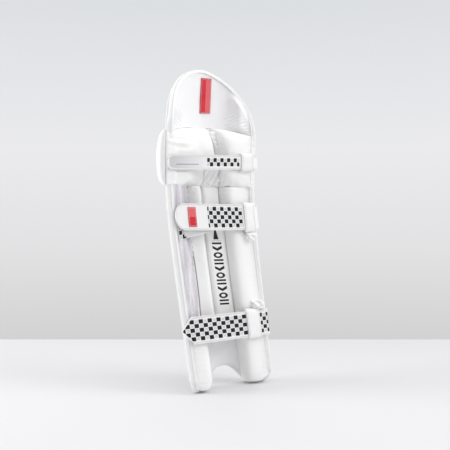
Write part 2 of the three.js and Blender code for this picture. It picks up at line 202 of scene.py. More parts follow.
def lower_edge(s):
    """Height of the shell's foot: an arch over the instep, and rounded outer corners."""
    t = clamp01(abs(s - ARCH_CENTRE_S) / ARCH_HALF_WIDTH)
    arch = ARCH_HEIGHT * (1 - t ** 2.5) ** (0.8 if s < ARCH_CENTRE_S else 2.2)
    corner = CORNER_RISE * clamp01((abs(s) - CORNER_FROM_S) / (BASE_HALF_WIDTH - CORNER_FROM_S)) ** 2.4
    return BINDING_DROP + arch + corner


def seam_z(s):
    """Height of the seam between the knee section and the top flap."""
    return SEAM_CROWN_Z - SEAM_DROP * ((s - SEAM_CROWN_S) / KNEE_HALF_WIDTH) ** 2


def crown_point(angle):
    """The top flap's edge: a rounded arch from the left shoulder, at 0, to the right one, at pi."""
    c = math.cos(angle)
    s = -KNEE_HALF_WIDTH * math.copysign(abs(c) ** (2 / CROWN_POWER), c)
    return s, SHOULDER_Z + CROWN_HEIGHT * max(math.sin(angle), 0) ** (2 / CROWN_POWER)


def chord_n(s, y):
    """Depth at which the wrapped surface meets the flat plane y across the back."""
    return (WRAP_RADIUS + y) / math.cos(s / WRAP_RADIUS) - WRAP_RADIUS


def outline(t):
    """The side and crown edge of the shell, from the left foot over the top to the right foot."""
    foot = lower_edge(BASE_HALF_WIDTH) + 1
    if t < SIDE_SHARE:
        z = mix(foot, SHOULDER_Z, t / SIDE_SHARE)
        return -half_width(z), z
    if t > 1 - SIDE_SHARE:
        z = mix(foot, SHOULDER_Z, (1 - t) / SIDE_SHARE)
        return half_width(z), z
    return crown_point(math.pi * (t - SIDE_SHARE) / (1 - 2 * SIDE_SHARE))


def with_normal(path, t, side):
    """A point of a pattern path and the outward direction there."""
    step = 2e-3
    s, z = path(t)
    s0, z0 = path(max(0.0, t - step))
    s1, z1 = path(min(1.0, t + step))
    length = math.hypot(s1 - s0, z1 - z0) or 1.0
    return s, z, -side * (z1 - z0) / length, side * (s1 - s0) / length


# ---------------- mesh makers


def make_object(bm, name, finish, body, crease=50.0):
    """A finished mesh that rides on a body, with its finish and its edges sharper than crease kept crisp."""
    bmesh.ops.recalc_face_normals(bm, faces=bm.faces)
    for face in bm.faces:
        face.smooth = True
    mesh = bpy.data.meshes.new(name)
    bm.to_mesh(mesh)
    bm.free()
    mesh.set_sharp_from_angle(angle=math.radians(crease))
    piece = bpy.data.objects.new(name, mesh)
    bpy.context.scene.collection.objects.link(piece)
    mesh.materials.append(finish)
    if body:
        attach(piece, body)
    return piece


def two_sided(name, cells, place, finish, body="pad", marks=None, crease=50.0, plain_inside=False):
    """A closed sheet: a grid and its extruded twin. place(a, c, side) puts each corner.

    marks(a, c) gives the distances along, across and in from the border, which the finish reads. A plain
    inside is marked as outside the border, so that no print or stitching shows there.
    """
    bm = bmesh.new()
    words = ("along", "across", "border") if marks else ()
    for word in words:
        bm.verts.layers.float.new(word)
    layers = [bm.verts.layers.float[word] for word in words]
    bmesh.ops.create_grid(bm, x_segments=cells[0], y_segments=cells[1], size=0.5)
    back = list(bm.verts)
    grown = bmesh.ops.extrude_face_region(bm, geom=list(bm.faces))["geom"]
    front = [v for v in grown if isinstance(v, bmesh.types.BMVert)]
    for side, corners in ((0, back), (1, front)):
        for corner in corners:
            a, c = corner.co.x + 0.5, corner.co.y + 0.5
            if marks:
                for layer, value in zip(layers, marks(a, c)):
                    corner[layer] = value
                if plain_inside and side:
                    corner[layers[2]] = OUTSIDE_BORDER
            corner.co = place(a, c, side)
    return make_object(bm, name, finish, body, crease)


def rounded(t, power):
    """Where share t lies across a rounded section, packed closer near its ends, and how full it is there."""
    across = mix(t, 0.5 - 0.5 * math.cos(math.pi * t), 0.8)
    return across, max(0.0, 1 - abs(2 * across - 1) ** power) ** (1 / power)


def cushion(name, node_name, cells, edges, ends, depth, powers, detail, finish, wrap=(0, 0)):
    """A soft pad sewn to the lining: flat behind, crowned in front, pulled in along its seams.

    edges(z) gives its left and right side, ends(a) its bottom and top, and depth(s) how high its crown is.
    wrap says how far its left and right ends turn forwards over the edge of the shell.
    """
    wrap_share = 0.07
    seam_reach = 11

    def place(a, c, side):
        across, full_across = rounded(a, powers[0])
        along, full_along = rounded(c, powers[1])
        bottom, top = ends(across)
        z = mix(bottom, top, along)
        left, right = edges(z)
        s = mix(left, right, across)
        full = full_across * full_along
        turned = wrap[0] * smooth(1 - across / wrap_share)
        turned += wrap[1] * smooth(1 - (1 - across) / wrap_share)
        n = CUSHION_BASE_N + turned
        if side:
            seam = hump(min(across, 1 - across) * (right - left), seam_reach)
            wander = 3 * noise.noise(Vector((z / 24, s / 50, depth(s))))
            gathers = 0.9 * seam * math.sin(z / 1.9 + wander)
            n -= 0.4 + (depth(s) + detail(s, z) + gathers) * full
        return wrapped(s, n, z)

    piece = two_sided(name, cells, place, finish, crease=70)
    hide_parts(node_name)
    return piece


def cord_line(name, points, radius, finish):
    """A round piping or tape through points in metres, as a closed mesh."""
    bm = bmesh.new()
    last = len(points) - 1
    ring_before = None
    for i, point in enumerate(points):
        ahead = (points[min(i + 1, last)] - points[max(i - 1, 0)]).normalized()
        turn = ahead.to_track_quat("Z", "Y")
        ends = i in (0, last)
        made = bmesh.ops.create_circle(bm, segments=10, radius=radius * MM, cap_ends=ends)
        ring = made["verts"]
        for corner in ring:
            corner.co = turn @ corner.co + point
        touching = {edge for corner in ring for edge in corner.link_edges}
        edges = [edge for edge in touching if all(corner in ring for corner in edge.verts)]
        if ring_before:
            bmesh.ops.bridge_loops(bm, edges=ring_before + edges)
        ring_before = edges
    return make_object(bm, name, finish, "pad", crease=80)


# ---------------- finishes

def operator(operation, flipped=False):
    """A Python operator that adds one Math node."""
    def act(self, other):
        first, second = (other, self) if flipped else (self, other)
        return self.sum(operation, first, second)
    return act


class Flow:
    """A shader value that can be used in sums."""

    def __init__(self, tree, socket):
        self.tree = tree
        self.socket = socket

    def sum(self, operation, *values):
        return node(self.tree, "Math", {"operation": operation}, dict(enumerate(values)))

    __add__ = operator("ADD")
    __radd__ = operator("ADD", flipped=True)
    __sub__ = operator("SUBTRACT")
    __rsub__ = operator("SUBTRACT", flipped=True)
    __mul__ = operator("MULTIPLY")
    __rmul__ = operator("MULTIPLY", flipped=True)
    __truediv__ = operator("DIVIDE")
    __mod__ = operator("FLOORED_MODULO")
    __gt__ = operator("GREATER_THAN")
    __lt__ = operator("LESS_THAN")

    def floor(self):
        return self.sum("FLOOR", self)

    def size(self):
        return self.sum("ABSOLUTE", self)

    def between(self, low, high):
        """1 where the value lies between low and high, else 0."""
        return (self > low) * (self < high)


def node(tree, kind, settings, sockets, output=0):
    """A shader node: its settings first, then the values or links of its sockets, by name or number."""
    made = tree.nodes.new("ShaderNode" + kind)
    for key, value in settings.items():
        if key == "stops":
            while len(made.color_ramp.elements) < len(value):
                made.color_ramp.elements.new(1.0)
            for stop, (position, colour) in zip(made.color_ramp.elements, value):
                stop.position = position
                stop.color = (*colour, 1)
        else:
            setattr(made, key, value)
    for key, value in sockets.items():
        if isinstance(value, Flow):
            tree.links.new(value.socket, made.inputs[key])
        else:
            made.inputs[key].default_value = value
    return Flow(tree, made.outputs[output])


class Finish:
    """A material under construction, with the nodes that most finishes here share."""

    def __init__(self, name, slot, **numbers):
        self.material = bpy.data.materials.new(name)
        self.material.use_nodes = True
        self.tree = self.material.node_tree
        self.shader = self.tree.nodes["Principled BSDF"]
        for key, value in numbers.items():
            self.shader.inputs[key.replace("_", " ")].default_value = value
        self.place = node(self.tree, "TexCoord", {}, {}, output="Object")

    def speckle(self, scale, detail=2.0, stretch=(1, 1, 1)):
        """Soft noise, 0 to 1. Scales are per metre."""
        place = node(self.tree, "Mapping", {}, {"Vector": self.place, "Scale": stretch})
        sockets = {"Vector": place, "Scale": scale, "Detail": detail}
        return node(self.tree, "TexNoise", {}, sockets, output="Fac")

    def cells(self, scale):
        """Pebbled cells: 0 at each cell's middle and more towards its rim."""
        sockets = {"Vector": self.place, "Scale": scale}
        return node(self.tree, "TexVoronoi", {}, sockets, output="Distance")

    def mark(self, word):
        """A distance in millimetres that was left on the mesh's corners."""
        return node(self.tree, "Attribute", {"attribute_name": word}, {}, output="Fac")

    def blend(self, share, first, second):
        settings = {"data_type": "RGBA", "blend_type": "MIX"}
        tints = [tint if isinstance(tint, Flow) else (*tint, 1) for tint in (first, second)]
        return node(self.tree, "Mix", settings, {0: share, 6: tints[0], 7: tints[1]}, output=2)

    def colour(self, flow):
        self.tree.links.new(flow.socket, self.shader.inputs["Base Color"])

    def rough(self, flow):
        self.tree.links.new(flow.socket, self.shader.inputs["Roughness"])

    def relief(self, height, distance):
        """Surface relief: height in shares of a distance in millimetres."""
        settings = {"Height": height, "Strength": 1.0, "Distance": distance * MM}
        bump = node(self.tree, "Bump", {}, settings)
        self.tree.links.new(bump.socket, self.shader.inputs["Normal"])


WHITE = (0.925, 0.925, 0.92)
WHITE_WORN = (0.83, 0.83, 0.815)
LINING_SHADE = (0.86, 0.86, 0.87)
BLACK_PRINT = (0.006, 0.006, 0.007)


def cover_finish(name, gloss=0.46, grain=0.16):
    """Soft coated cover: fine pebble grain, a little marking in broad patches."""
    made = Finish(name, "white_cover", Specular_IOR_Level=0.42, Sheen_Weight=0.06, Sheen_Roughness=0.4)
    patches = made.speckle(14, 4.0)
    smudge = (made.speckle(55, 3.0) * patches) * 1.3
    made.colour(made.blend(smudge * smudge * smudge, WHITE, WHITE_WORN))
    made.rough(gloss + 0.16 * patches)
    pebble = made.cells(1150) * 0.7 + made.speckle(420, 3.0) * 0.6
    made.relief(pebble + made.speckle(70, 2.0) * 1.5, grain)
    return made.material


def threads(made, direction):
    """Rows of threads. A wave texture turns 20 times over 2 pi units at scale 1."""
    settings = {"wave_type": "BANDS", "bands_direction": direction, "wave_profile": "SIN"}
    sockets = {"Vector": made.place, "Scale": 2 * math.pi / 20 / THREAD_PITCH}
    return node(made.tree, "TexWave", settings, sockets, output="Fac")


def woven_finish(name, slot, tint, shade, rough, relief=0.22, sheen=0.25, crease_shade_streaks=0.0):
    """Plain weave: two crossing sets of threads, with slubs and faint colour variation. Its optional upright
    dark streaks are painted shade of creases.
    """
    made = Finish(name, slot, Sheen_Weight=sheen, Sheen_Roughness=0.5, Specular_IOR_Level=0.25)
    weave = threads(made, "Z") * threads(made, "DIAGONAL")
    # Painted shade: upright streaks pulled towards the shade colour, where the creases of loose cloth fall
    # dark.
    crease = (made.speckle(130, 3.0, (1, 1, 0.07)) - 0.42) * crease_shade_streaks
    made.colour(made.blend(made.speckle(26, 4.0) * 0.4 + weave * 0.2 + crease, tint, shade))
    made.rough(rough + 0.1 * made.speckle(60))
    made.relief(weave + made.speckle(300, 2.0) * 0.5, relief)
    return made.material


def stitch_line(made, near, width=0.9, stitch=3.4):
    """Mask of a row of stitches that runs at a distance in from the border, and its needle-hole channel,
    which the finishes press in and darken with painted shade.
    """
    border = made.mark("border")
    along = made.mark("along") + made.mark("across")
    row = (border - near).size() < width / 2
    shaded_channel = (border - near).size() < width
    return row * ((along % stitch) < stitch * 0.68), shaded_channel


def strap_finish(name, checks, rows, pitch, phase=0.0, outer=None, rim=3.6, line=None):
    """White webbing with a stitched border and a check print between two stations along the strap.

    outer is a second printed stretch, round the edge, and line a fine grey line near the free end; from a
    little past that line, painted shade greys the strap more and more towards the free end.
    """
    made = Finish(name, "check_webbing", Sheen_Weight=0.02, Specular_IOR_Level=0.2)
    along, across, border = (made.mark(word) for word in ("along", "across", "border"))
    column = (along - phase) / pitch
    row = across / CHECK_PITCH + rows / 2
    from_column = ((column % 1) - 0.5).size()
    from_row = ((row % 1) - 0.5).size()
    dark = ((column.floor() + row.floor()) % 2) < 0.5
    inset = (from_column < 0.485) * (from_row < 0.485)
    centre = (from_column < 0.36) * (from_row < 0.36)
    stretch = along.between(*checks)
    if outer:
        stretch = stretch + along.between(*outer)
    field = stretch * (across.size() < rows * CHECK_PITCH / 2) * (border > rim)
    fade = made.speckle(1400, 2.0)
    printed = field * dark * inset
    pale = field * (1 - dark) * centre
    seam, shaded_channel = stitch_line(made, 2.6, 0.8, 3.2)
    ground = made.blend(made.speckle(22, 4.0) * 0.35 + pale * 0.65, WHITE, (0.60, 0.60, 0.615))
    # Painted shade: the stitch channel darkened as if in its own shadow.
    ground = made.blend(shaded_channel * 0.35, ground, (0.62, 0.62, 0.62))
    ground = made.blend(seam, ground, (0.95, 0.95, 0.95))
    ink = made.blend(fade, BLACK_PRINT, (0.016, 0.016, 0.018))
    if line:
        # Painted shade: the webbing greyed more and more towards its free end.
        painted_end_shade = (line[1] + 30 - along) * 0.011 * (border > rim)
        stroke = along.between(*line) * (across + 4.5).between(-0.7, 0.7)
        ground = made.blend(painted_end_shade, ground, (0.60, 0.60, 0.62))
        ground = made.blend(stroke * 0.8, ground, (0.12, 0.12, 0.13))
    made.colour(made.blend(printed, ground, ink))
    made.rough(0.62 - 0.12 * printed)
    rib = made.speckle(900, 1.0, (1, 1, 0.2))
    made.relief(rib * 0.6 + seam * 1.6 - shaded_channel + printed * 0.25, 0.3)
    return made.material


def bordered_finish(name, near):
    """Cover with one row of stitches in from its border."""
    made = Finish(name, "white_cover", Specular_IOR_Level=0.42, Sheen_Weight=0.06)
    seam, shaded_channel = stitch_line(made, near)
    ground = made.blend(made.speckle(30, 4.0) * 0.5, WHITE, WHITE_WORN)
    # Painted shade: the stitch channel darkened as if in its own shadow.
    ground = made.blend(shaded_channel * 0.4, ground, (0.66, 0.66, 0.65))
    made.colour(made.blend(seam, ground, (0.93, 0.93, 0.92)))
    made.rough(0.44 + 0.16 * made.speckle(40))
    made.relief(made.cells(1100) * 0.35 + seam * 1.5 - shaded_channel * 1.4, 0.3)
    return made.material


def strip_finish():
    """Cover of the centre strip, printed with a column of plain bars, rings and arrowheads."""
    made = Finish("centre_strip_cover", "white_cover", Specular_IOR_Level=0.42, Sheen_Weight=0.05)
    across, along = made.mark("across"), made.mark("along")
    station = along / STRIP_PITCH
    turn = station.floor() % 3
    up = ((station % 1) - 0.5) * STRIP_PITCH
    inside = across.size() < STRIP_PRINT_HALF_WIDTH
    bars = ((up.size() - 3.7).size() < 2.0) * inside
    oval = across * across * 0.24 + up * up
    ring = oval.between(9.0, 40.0)
    arrow = ((across.size() * 0.42 - up - 2.6).size() < 3.0) * inside
    pick = (turn < 0.5) * bars + turn.between(0.5, 1.5) * ring + (turn > 1.5) * arrow
    column = pick * along.between(174, 316)
    wedge = (across.size() < 2.4 + (340 - along) * 0.24) * along.between(319, 341)
    ink = (column + wedge) > 0.5
    ground = made.blend(made.speckle(24, 4.0) * 0.5, WHITE, WHITE_WORN)
    made.colour(made.blend(ink, ground, BLACK_PRINT))
    made.rough(0.45 + 0.14 * made.speckle(40) - 0.08 * ink)
    made.relief(made.cells(1150) * 0.7 + made.speckle(400, 3.0) * 0.6, 0.16)
    return made.material


def patch_finish():
    """Red moulded patch: a pale stitched rim, and one half a shade lighter."""
    made = Finish("red_patch_face", "red_patch", Specular_IOR_Level=0.25)
    half = made.mark("across") > 0
    lighter = half * 0.55 + made.speckle(60) * 0.2
    tint = made.blend(lighter, (0.62, 0.006, 0.022), (0.84, 0.20, 0.22))
    seam, shaded_channel = stitch_line(made, 1.9, 0.7, 2.6)
    # Painted shade: the stitch channel darkened as if in its own shadow.
    tint = made.blend(shaded_channel * 0.5, tint, (0.35, 0.01, 0.02))
    made.colour(made.blend(seam, tint, (0.93, 0.80, 0.80)))
    made.rough(0.36 + 0.15 * made.speckle(90))
    made.relief(seam * 1.2 - shaded_channel + made.speckle(500, 2.0) * 0.4, 0.25)
    return made.material


def hook_finish():
    made = Finish("hook_and_loop_pile", "hook_and_loop", Sheen_Weight=0.5, Sheen_Roughness=0.6,
                  Specular_IOR_Level=0.2)
    fuzz = made.cells(1500) + made.speckle(800, 4.0)
    made.colour(made.blend(fuzz * 0.6, (0.60, 0.60, 0.60), (0.88, 0.88, 0.87)))
    made.rough(0.9 + 0.08 * fuzz)
    made.relief(fuzz, 0.6)
    return made.material


def foam_finish():
    made = Finish("foam_board_cells", "foam", Specular_IOR_Level=0.2)
    bubbles = made.cells(700)
    made.colour(made.blend(bubbles, (0.66, 0.64, 0.55), (0.82, 0.80, 0.72)))
    made.rough(0.86 + 0.1 * bubbles)
    made.relief(bubbles, 0.5)
    return made.material


def cane_finish():
    made = Finish("split_cane", "cane", Specular_IOR_Level=0.4)
    fibre = made.speckle(160, 5.0, (1, 1, 0.04))
    made.colour(made.blend(fibre, (0.42, 0.27, 0.10), (0.74, 0.57, 0.32)))
    made.rough(0.5 + 0.2 * fibre)
    made.relief(fibre, 0.3)
    return made.material


cover = cover_finish("white_cover")
cover_front = cover_finish("white_front_cover", gloss=0.4, grain=0.2)
lining = woven_finish("shin_lining_weave", "lining_fabric", (0.93, 0.93, 0.935), LINING_SHADE, 0.72)
flap_lining = woven_finish("top_flap_lining_weave", "lining_fabric", (0.92, 0.92, 0.925), LINING_SHADE,
                           0.55, relief=0.12, sheen=0.1)
# Dark tape along the wing's free edge: painted shadow of the gap between the wing and the calf bolster.
gap_shadow_tape = woven_finish("wing_gap_shadow_tape_weave", "wing_fabric", (0.40, 0.36, 0.35), (0.24, 0.21, 0.21),
                         0.8)
# Calf wing cloth: its upright darker streaks are painted crease shade.
wing_weave = woven_finish("calf_wing_weave", "wing_fabric", (0.93, 0.91, 0.945), (0.58, 0.56, 0.60),
                          0.86, relief=0.3, sheen=0.2, crease_shade_streaks=2.4)
binding = bordered_finish("edge_binding", 5.0)
sewn_cover = bordered_finish("sewn_white_cover", 3.0)
hooks = hook_finish()
red = patch_finish()
foam = foam_finish()
cane = cane_finish()

# ---------------- camera and stage

VIEW_TURN = math.radians(-36)
CAMERA_DISTANCE = 1440.0
CAMERA_HEIGHT = 350.0
CAMERA_SIDESTEP = 6.0
LENS = 52.3
HORIZON_DISTANCE = 586.0
FLOOR_DEPTH = 6.0
FLOOR_WIDTH = 12.0
AIM_HEIGHT = 0.34


def add_camera():
    back = Vector((math.sin(VIEW_TURN), -math.cos(VIEW_TURN), 0))
    right = Vector((math.cos(VIEW_TURN), math.sin(VIEW_TURN), 0))
    spot = back * CAMERA_DISTANCE + right * CAMERA_SIDESTEP
    data = bpy.data.cameras.new("camera")
    data.lens = LENS
    data.sensor_width = 36
    camera = bpy.data.objects.new("camera", data)
    camera.location = Vector((spot.x + SHIFT_X, spot.y + SHIFT_Y, CAMERA_HEIGHT)) * MM
    camera.rotation_euler = (math.pi / 2, 0, VIEW_TURN)
    bpy.context.scene.collection.objects.link(camera)
    bpy.context.scene.camera = camera


def add_light(name, azimuth, elevation, distance, size, power):
    """A square softbox aimed at the middle of the pad. Azimuth is measured like the camera's."""
    a, e = math.radians(azimuth), math.radians(elevation)
    out = Vector((math.sin(a) * math.cos(e), -math.cos(a) * math.cos(e), math.sin(e)))
    data = bpy.data.lights.new(name, "AREA")
    data.energy = power
    data.size = size
    light = bpy.data.objects.new(name, data)
    light.location = out * distance + Vector((0, 0, AIM_HEIGHT))
    light.rotation_euler = out.to_track_quat("Z", "Y").to_euler()
    bpy.context.scene.collection.objects.link(light)


def add_world():
    """Pale studio: a soft grey wall behind the pad, and light that falls mostly from one side."""
    world = bpy.data.worlds.new("studio")
    bpy.context.scene.world = world
    world.use_nodes = True
    tree = world.node_tree
    place = node(tree, "TexCoord", {}, {}, output="Generated")
    up = node(tree, "SeparateXYZ", {}, {0: place}, output="Z")
    wall = [
        (0.0, (0.64, 0.64, 0.64)),
        (0.27, (0.76, 0.76, 0.77)),
        (0.58, (0.83, 0.83, 0.85)),
        (1.0, (0.72, 0.74, 0.76)),
    ]
    share = node(tree, "MapRange", {}, {"Value": up, "From Min": -0.17, "From Max": 0.32})
    shown = node(tree, "ValToRGB", {"stops": wall}, {"Fac": share}, output="Color")
    side = node(tree, "SeparateXYZ", {}, {0: place}, output="X")
    bright = node(tree, "MapRange", {}, {"Value": side, "From Min": -0.7, "From Max": 0.5})
    fill = [(0.0, (0.42, 0.42, 0.43)), (1.0, (0.88, 0.88, 0.89))]
    glow = node(tree, "ValToRGB", {"stops": fill}, {"Fac": bright}, output="Color")
    eye = node(tree, "LightPath", {}, {}, output="Is Camera Ray")
    seen = node(tree, "Mix", {"data_type": "RGBA"}, {0: eye, 6: glow, 7: shown}, output=2)
    tree.links.new(seen.socket, tree.nodes["Background"].inputs["Color"])


def add_floor():
    """Pale floor that ends in a line behind the pad, as a board against a wall does."""
    bm = bmesh.new()
    bmesh.ops.create_grid(bm, x_segments=1, y_segments=1, size=0.5)
    across = Vector((math.cos(VIEW_TURN), math.sin(VIEW_TURN), 0))
    away = Vector((-math.sin(VIEW_TURN), math.cos(VIEW_TURN), 0))
    middle = HORIZON_DISTANCE * MM - FLOOR_DEPTH / 2
    for corner in bm.verts:
        corner.co = across * corner.co.x * FLOOR_WIDTH + away * (corner.co.y * FLOOR_DEPTH + middle)
    finish = Finish("pale_floor", None, Specular_IOR_Level=0.3)
    finish.colour(finish.blend(finish.speckle(1.5, 2.0), (0.71, 0.71, 0.72), (0.75, 0.75, 0.76)))
    finish.rough(0.55 + 0.1 * finish.speckle(3.0))
    make_object(bm, "floor", finish.material, None)


add_camera()
add_world()
add_floor()
add_light("key_softbox", 34, 34, 2.6, 1.1, 21)
add_light("left_softbox", -116, 16, 2.4, 1.2, 33)
add_light("top_softbox", -30, 76, 2.4, 1.4, 15)
bpy.context.scene.view_settings.view_transform = "Standard"


# ---------------- shell

def shin_sheet(name, node_name, n_back, n_front, finish, detail, cells=(120, 120)):
    """A skin of the shin and knee section. detail(s, z) is how far its outer side is pushed along n."""
    def place(a, c, side):
        share = 2 * a - 1
        bottom = lower_edge(share * BASE_HALF_WIDTH)
        z = mix(bottom, seam_z(share * KNEE_HALF_WIDTH) - 1, c)
        s = share * half_width(z)
        n = n_front if side else n_back + detail(s, z)
        return wrapped(s, n, z)

    def marks(a, c):
        share = 2 * a - 1
        z = mix(lower_edge(share * BASE_HALF_WIDTH), seam_z(share * KNEE_HALF_WIDTH), c)
        s = share * half_width(z)
        return z, s, min(half_width(z) - abs(s), z - lower_edge(s))

    piece = two_sided(name, cells, place, finish, marks=marks)
    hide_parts(node_name)


def lining_detail(s, z):
    """Soft unevenness, with fine gathers above the instep."""
    gathers = 0.35 * math.sin(z / 2.6) * hump(z - 46, 9)
    return -0.5 * noise.noise(Vector((s / 26, z / 40, 3.1))) - 0.5 + gathers


def no_detail(s, z):
    return 0.0


shin_sheet("inner_lining_cloth", "inner_lining", LINING_BACK_N, LINING_FRONT_N, lining, lining_detail)
shin_sheet("front_face_cover", "front_face", 8.4, FACE_N, cover_front, no_detail, (80, 60))


def flap_detail(s, z):
    """Relief of the top flap's lining: fine creases low on both sides, a facet pressed in at the right."""
    low = smooth((604 - z) / 30)
    left = math.sin((z + 0.36 * s) / 1.4) * smooth((-s - 46) / 22) * low
    right = math.sin((z - 0.30 * s) / 1.2) * smooth((s - 52) / 14) * low
    facet = smooth((s - 58) / 42) * (1 - smooth((s - 90) / 32)) * smooth((668 - z) / 46)
    groove = hump(s + 108, 7)
    soft = noise.noise(Vector((s / 34, z / 40, 8.0)))
    return 1.5 * left + 0.6 * right + 15.0 * facet - 3.0 * groove - 0.8 * soft


def flap_sheet(name, node_name, n_back, n_front, finish, detail, cells):
    """A skin of the top flap, from the seam up to the crown."""
    def place(a, c, side):
        s, top = crown_point(math.pi * a)
        z = mix(seam_z(s), top, c)
        fade = min(1.0, 6 * c * (1 - c) + 0.05)
        n = n_front if side else n_back - detail(s, z) * fade
        return wrapped(s, n, z)

    def marks(a, c):
        s, top = crown_point(math.pi * a)
        z = mix(seam_z(s), top, c)
        return z, s, min(top - z, (KNEE_HALF_WIDTH - abs(s)) * 1.3)

    piece = two_sided(name, cells, place, finish, marks=marks)
    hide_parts(node_name)


flap_sheet("top_flap_lining_cloth", "top_flap_lining", LINING_BACK_N, LINING_FRONT_N, flap_lining,
           flap_detail, (260, 150))
flap_sheet("top_flap_front_cover", "top_flap_face", 4.9, FLAP_FACE_N, cover_front, no_detail, (100, 40))


def edge_front(z):
    """How far forward the edging reaches: the top flap is thinner than the shin section."""
    return mix(FACE_N, FLAP_FACE_N, smooth((z - SHOULDER_Z) / 30)) + 0.7


def edge_strip(name, node_name, steps, path, side, reach):
    """The cover's turned and stitched edge: a rounded strip that closes front to back."""
    def place(a, c, lid):
        s, z, es, ez = with_normal(path, a, side)
        angle = math.pi * c
        depth = 0.5 - 0.5 * math.cos(angle)
        out = 0.65
        if lid:
            bulge = math.sin(angle) ** 0.55
            out = mix(0.7, reach, bulge) + 0.25 * noise.noise(Vector((s / 9, z / 9, c * 2)))
        return wrapped(s + es * out, mix(CUSHION_BASE_N, edge_front(z), depth), z + ez * out)

    def marks(a, c):
        return a * steps * 3.0, 0.0, mix(0, 16, c)

    piece = two_sided(name, (steps, 14), place, binding, marks=marks)
    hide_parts(node_name)


def bottom_path(t):
    """The foot's edge, carried a little way up both sides so that it ends inside the side edging."""
    reach = mix(-BASE_HALF_WIDTH - 16, BASE_HALF_WIDTH + 16, t)
    s = max(-BASE_HALF_WIDTH, min(BASE_HALF_WIDTH, reach))
    return s, lower_edge(s) + abs(reach - s)


edge_strip("edge_piping_cover", "edge_piping", 460, outline, 1, 5.6)
edge_strip("instep_binding_cover", "instep_binding", 260, bottom_path, -1, 5.2)


def piping_points(inset, n, count=220):
    """Line of a piping that follows the outline, a little way in from it."""
    points = []
    for i in range(count + 1):
        s, z, es, ez = with_normal(outline, i / count, 1)
        points.append(wrapped(s - es * inset, n, z - ez * inset))
    return points


cord_line("back_edge_piping", piping_points(0.6, -3.0), 1.5, cover)
cord_line("front_edge_piping", piping_points(3.0, FACE_N + 1.6), 1.3, cover_front)


# ---------------- front of the pad

def front_pad(name, nodes, cells, powers, span_s, span_z, base, skin, depth):
    """A filled cover on the front face: a thin skin at its edges, and depth(s, z) more at its crown."""
    def place(a, c, side):
        across, full_across = rounded(a, powers[0])
        along, full_along = rounded(c, powers[1])
        s, z = mix(*span_s, across), mix(*span_z, along)
        n = base
        if side:
            n += skin + depth(s, z) * full_across * full_along
        return wrapped(s, n, z)

    piece = two_sided(name, cells, place, cover_front, crease=75)
    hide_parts(*nodes)


def front_bolster(i):
    """One upright roll on the front, gathered at both ends."""
    left = (i - 3) * BOLSTER_PITCH - BOLSTER_HALF_WIDTH
    right = left + 2 * BOLSTER_HALF_WIDTH
    bottom = max(lower_edge(s) for s in (left, (left + right) / 2, right)) + 3

    def depth(s, z):
        ends = hump(z - bottom, 9) + hump(z - BOLSTER_TOP_Z, 9)
        gather = 0.5 * math.sin((s - left) / (right - left) * 40) * ends
        return BOLSTER_HEIGHTS[i] - 0.6 + gather + 0.5 * noise.noise(Vector((s / 12, z / 46, i)))

    front_pad(f"front_bolster_cover_{i + 1}", [f"front_bolster_{i + 1}"], (22, 96), (2.3, 7),
              (left, right), (bottom, BOLSTER_TOP_Z), BOLSTER_BASE_N, 0.4, depth)


def knee_roll(level, i):
    """One level roll over the knee, gathered at both ends."""
    middle = KNEE_BOTTOM_Z + KNEE_ROLL_HALF_HEIGHT + i * KNEE_ROLL_PITCH
    reach = KNEE_ROLL_HALF_LENGTH

    def depth(s, z):
        pleat = 0.6 * math.sin(z * 1.3 + s * 0.1) * hump(reach - 4 - abs(s), 8)
        return KNEE_ROLL_DEPTH + pleat + 0.8 * noise.noise(Vector((s / 30, z / 14, 4 + i)))

    front_pad(f"knee_roll_cover_{level}", [f"knee_roll_{level}", f"knee_roll_core_{level}"], (110, 26),
              (14, 2.1), (-reach, reach), (middle - KNEE_ROLL_HALF_HEIGHT, middle + KNEE_ROLL_HALF_HEIGHT),
              BOLSTER_BASE_N, 0.5, depth)


def knee_side(name, turn, far, height):
    """Smooth pad that closes the rolls' ends, lower towards its far side."""
    near = KNEE_ROLL_HALF_LENGTH + 1

    def depth(s, z):
        outer = mix(1, 0.72, smooth((abs(s) - near) / (far - near)))
        return (height + 0.7 * noise.noise(Vector((s / 18, z / 24, 9)))) * outer

    front_pad(f"knee_side_cover_{name}", [f"knee_side_pad_{name}"], (30, 64), (3.4, 2.6),
              sorted((turn * near, turn * far)), (KNEE_BOTTOM_Z, SHOULDER_Z - 2),
              BOLSTER_BASE_N + 0.3, 0.5, depth)


for index in range(len(BOLSTER_HEIGHTS)):
    front_bolster(index)
for number, level_name in enumerate(("lower", "middle", "upper")):
    knee_roll(level_name, number)
knee_side("left", -1, KNEE_HALF_WIDTH + 4, 23)
knee_side("right", 1, 109, 15)


# ---------------- knee cushions

STRAPS = (
    dict(name="top_strap", z=TOP_STRAP_Z, width=30, rise=0.05, plane=-62.0, hinge=59, keeper=(68, 99),
         tip=-115, point=False, tab_rise=0.05, tab_drop=0, tab_start=0.78,
         rows=2, pitch=8.8, phase=3.5, checks=(-21.0, 63.0), outer=None, line=(-96.0, -42.0)),
    dict(name="middle_strap", z=MIDDLE_STRAP_Z, width=55, rise=0.0, plane=-59.8, hinge=63, keeper=(72, 100),
         tip=-102, point=False, tab_rise=0.2, tab_drop=5, tab_start=0.8,
         rows=5, pitch=9.6, phase=9.1, checks=(-23.5, 67.5), outer=(118.0, 190.0), line=None),
    dict(name="bottom_strap", z=BOTTOM_STRAP_Z, width=56, rise=0.005, plane=-57.2, hinge=37, keeper=(46, 81),
         tip=-120, point=True, tab_rise=0.005, tab_drop=0, tab_start=0.78,
         rows=5, pitch=11.2, phase=11.5, checks=(-126.0, 45.5), outer=(82.0, 190.0), line=None),
)


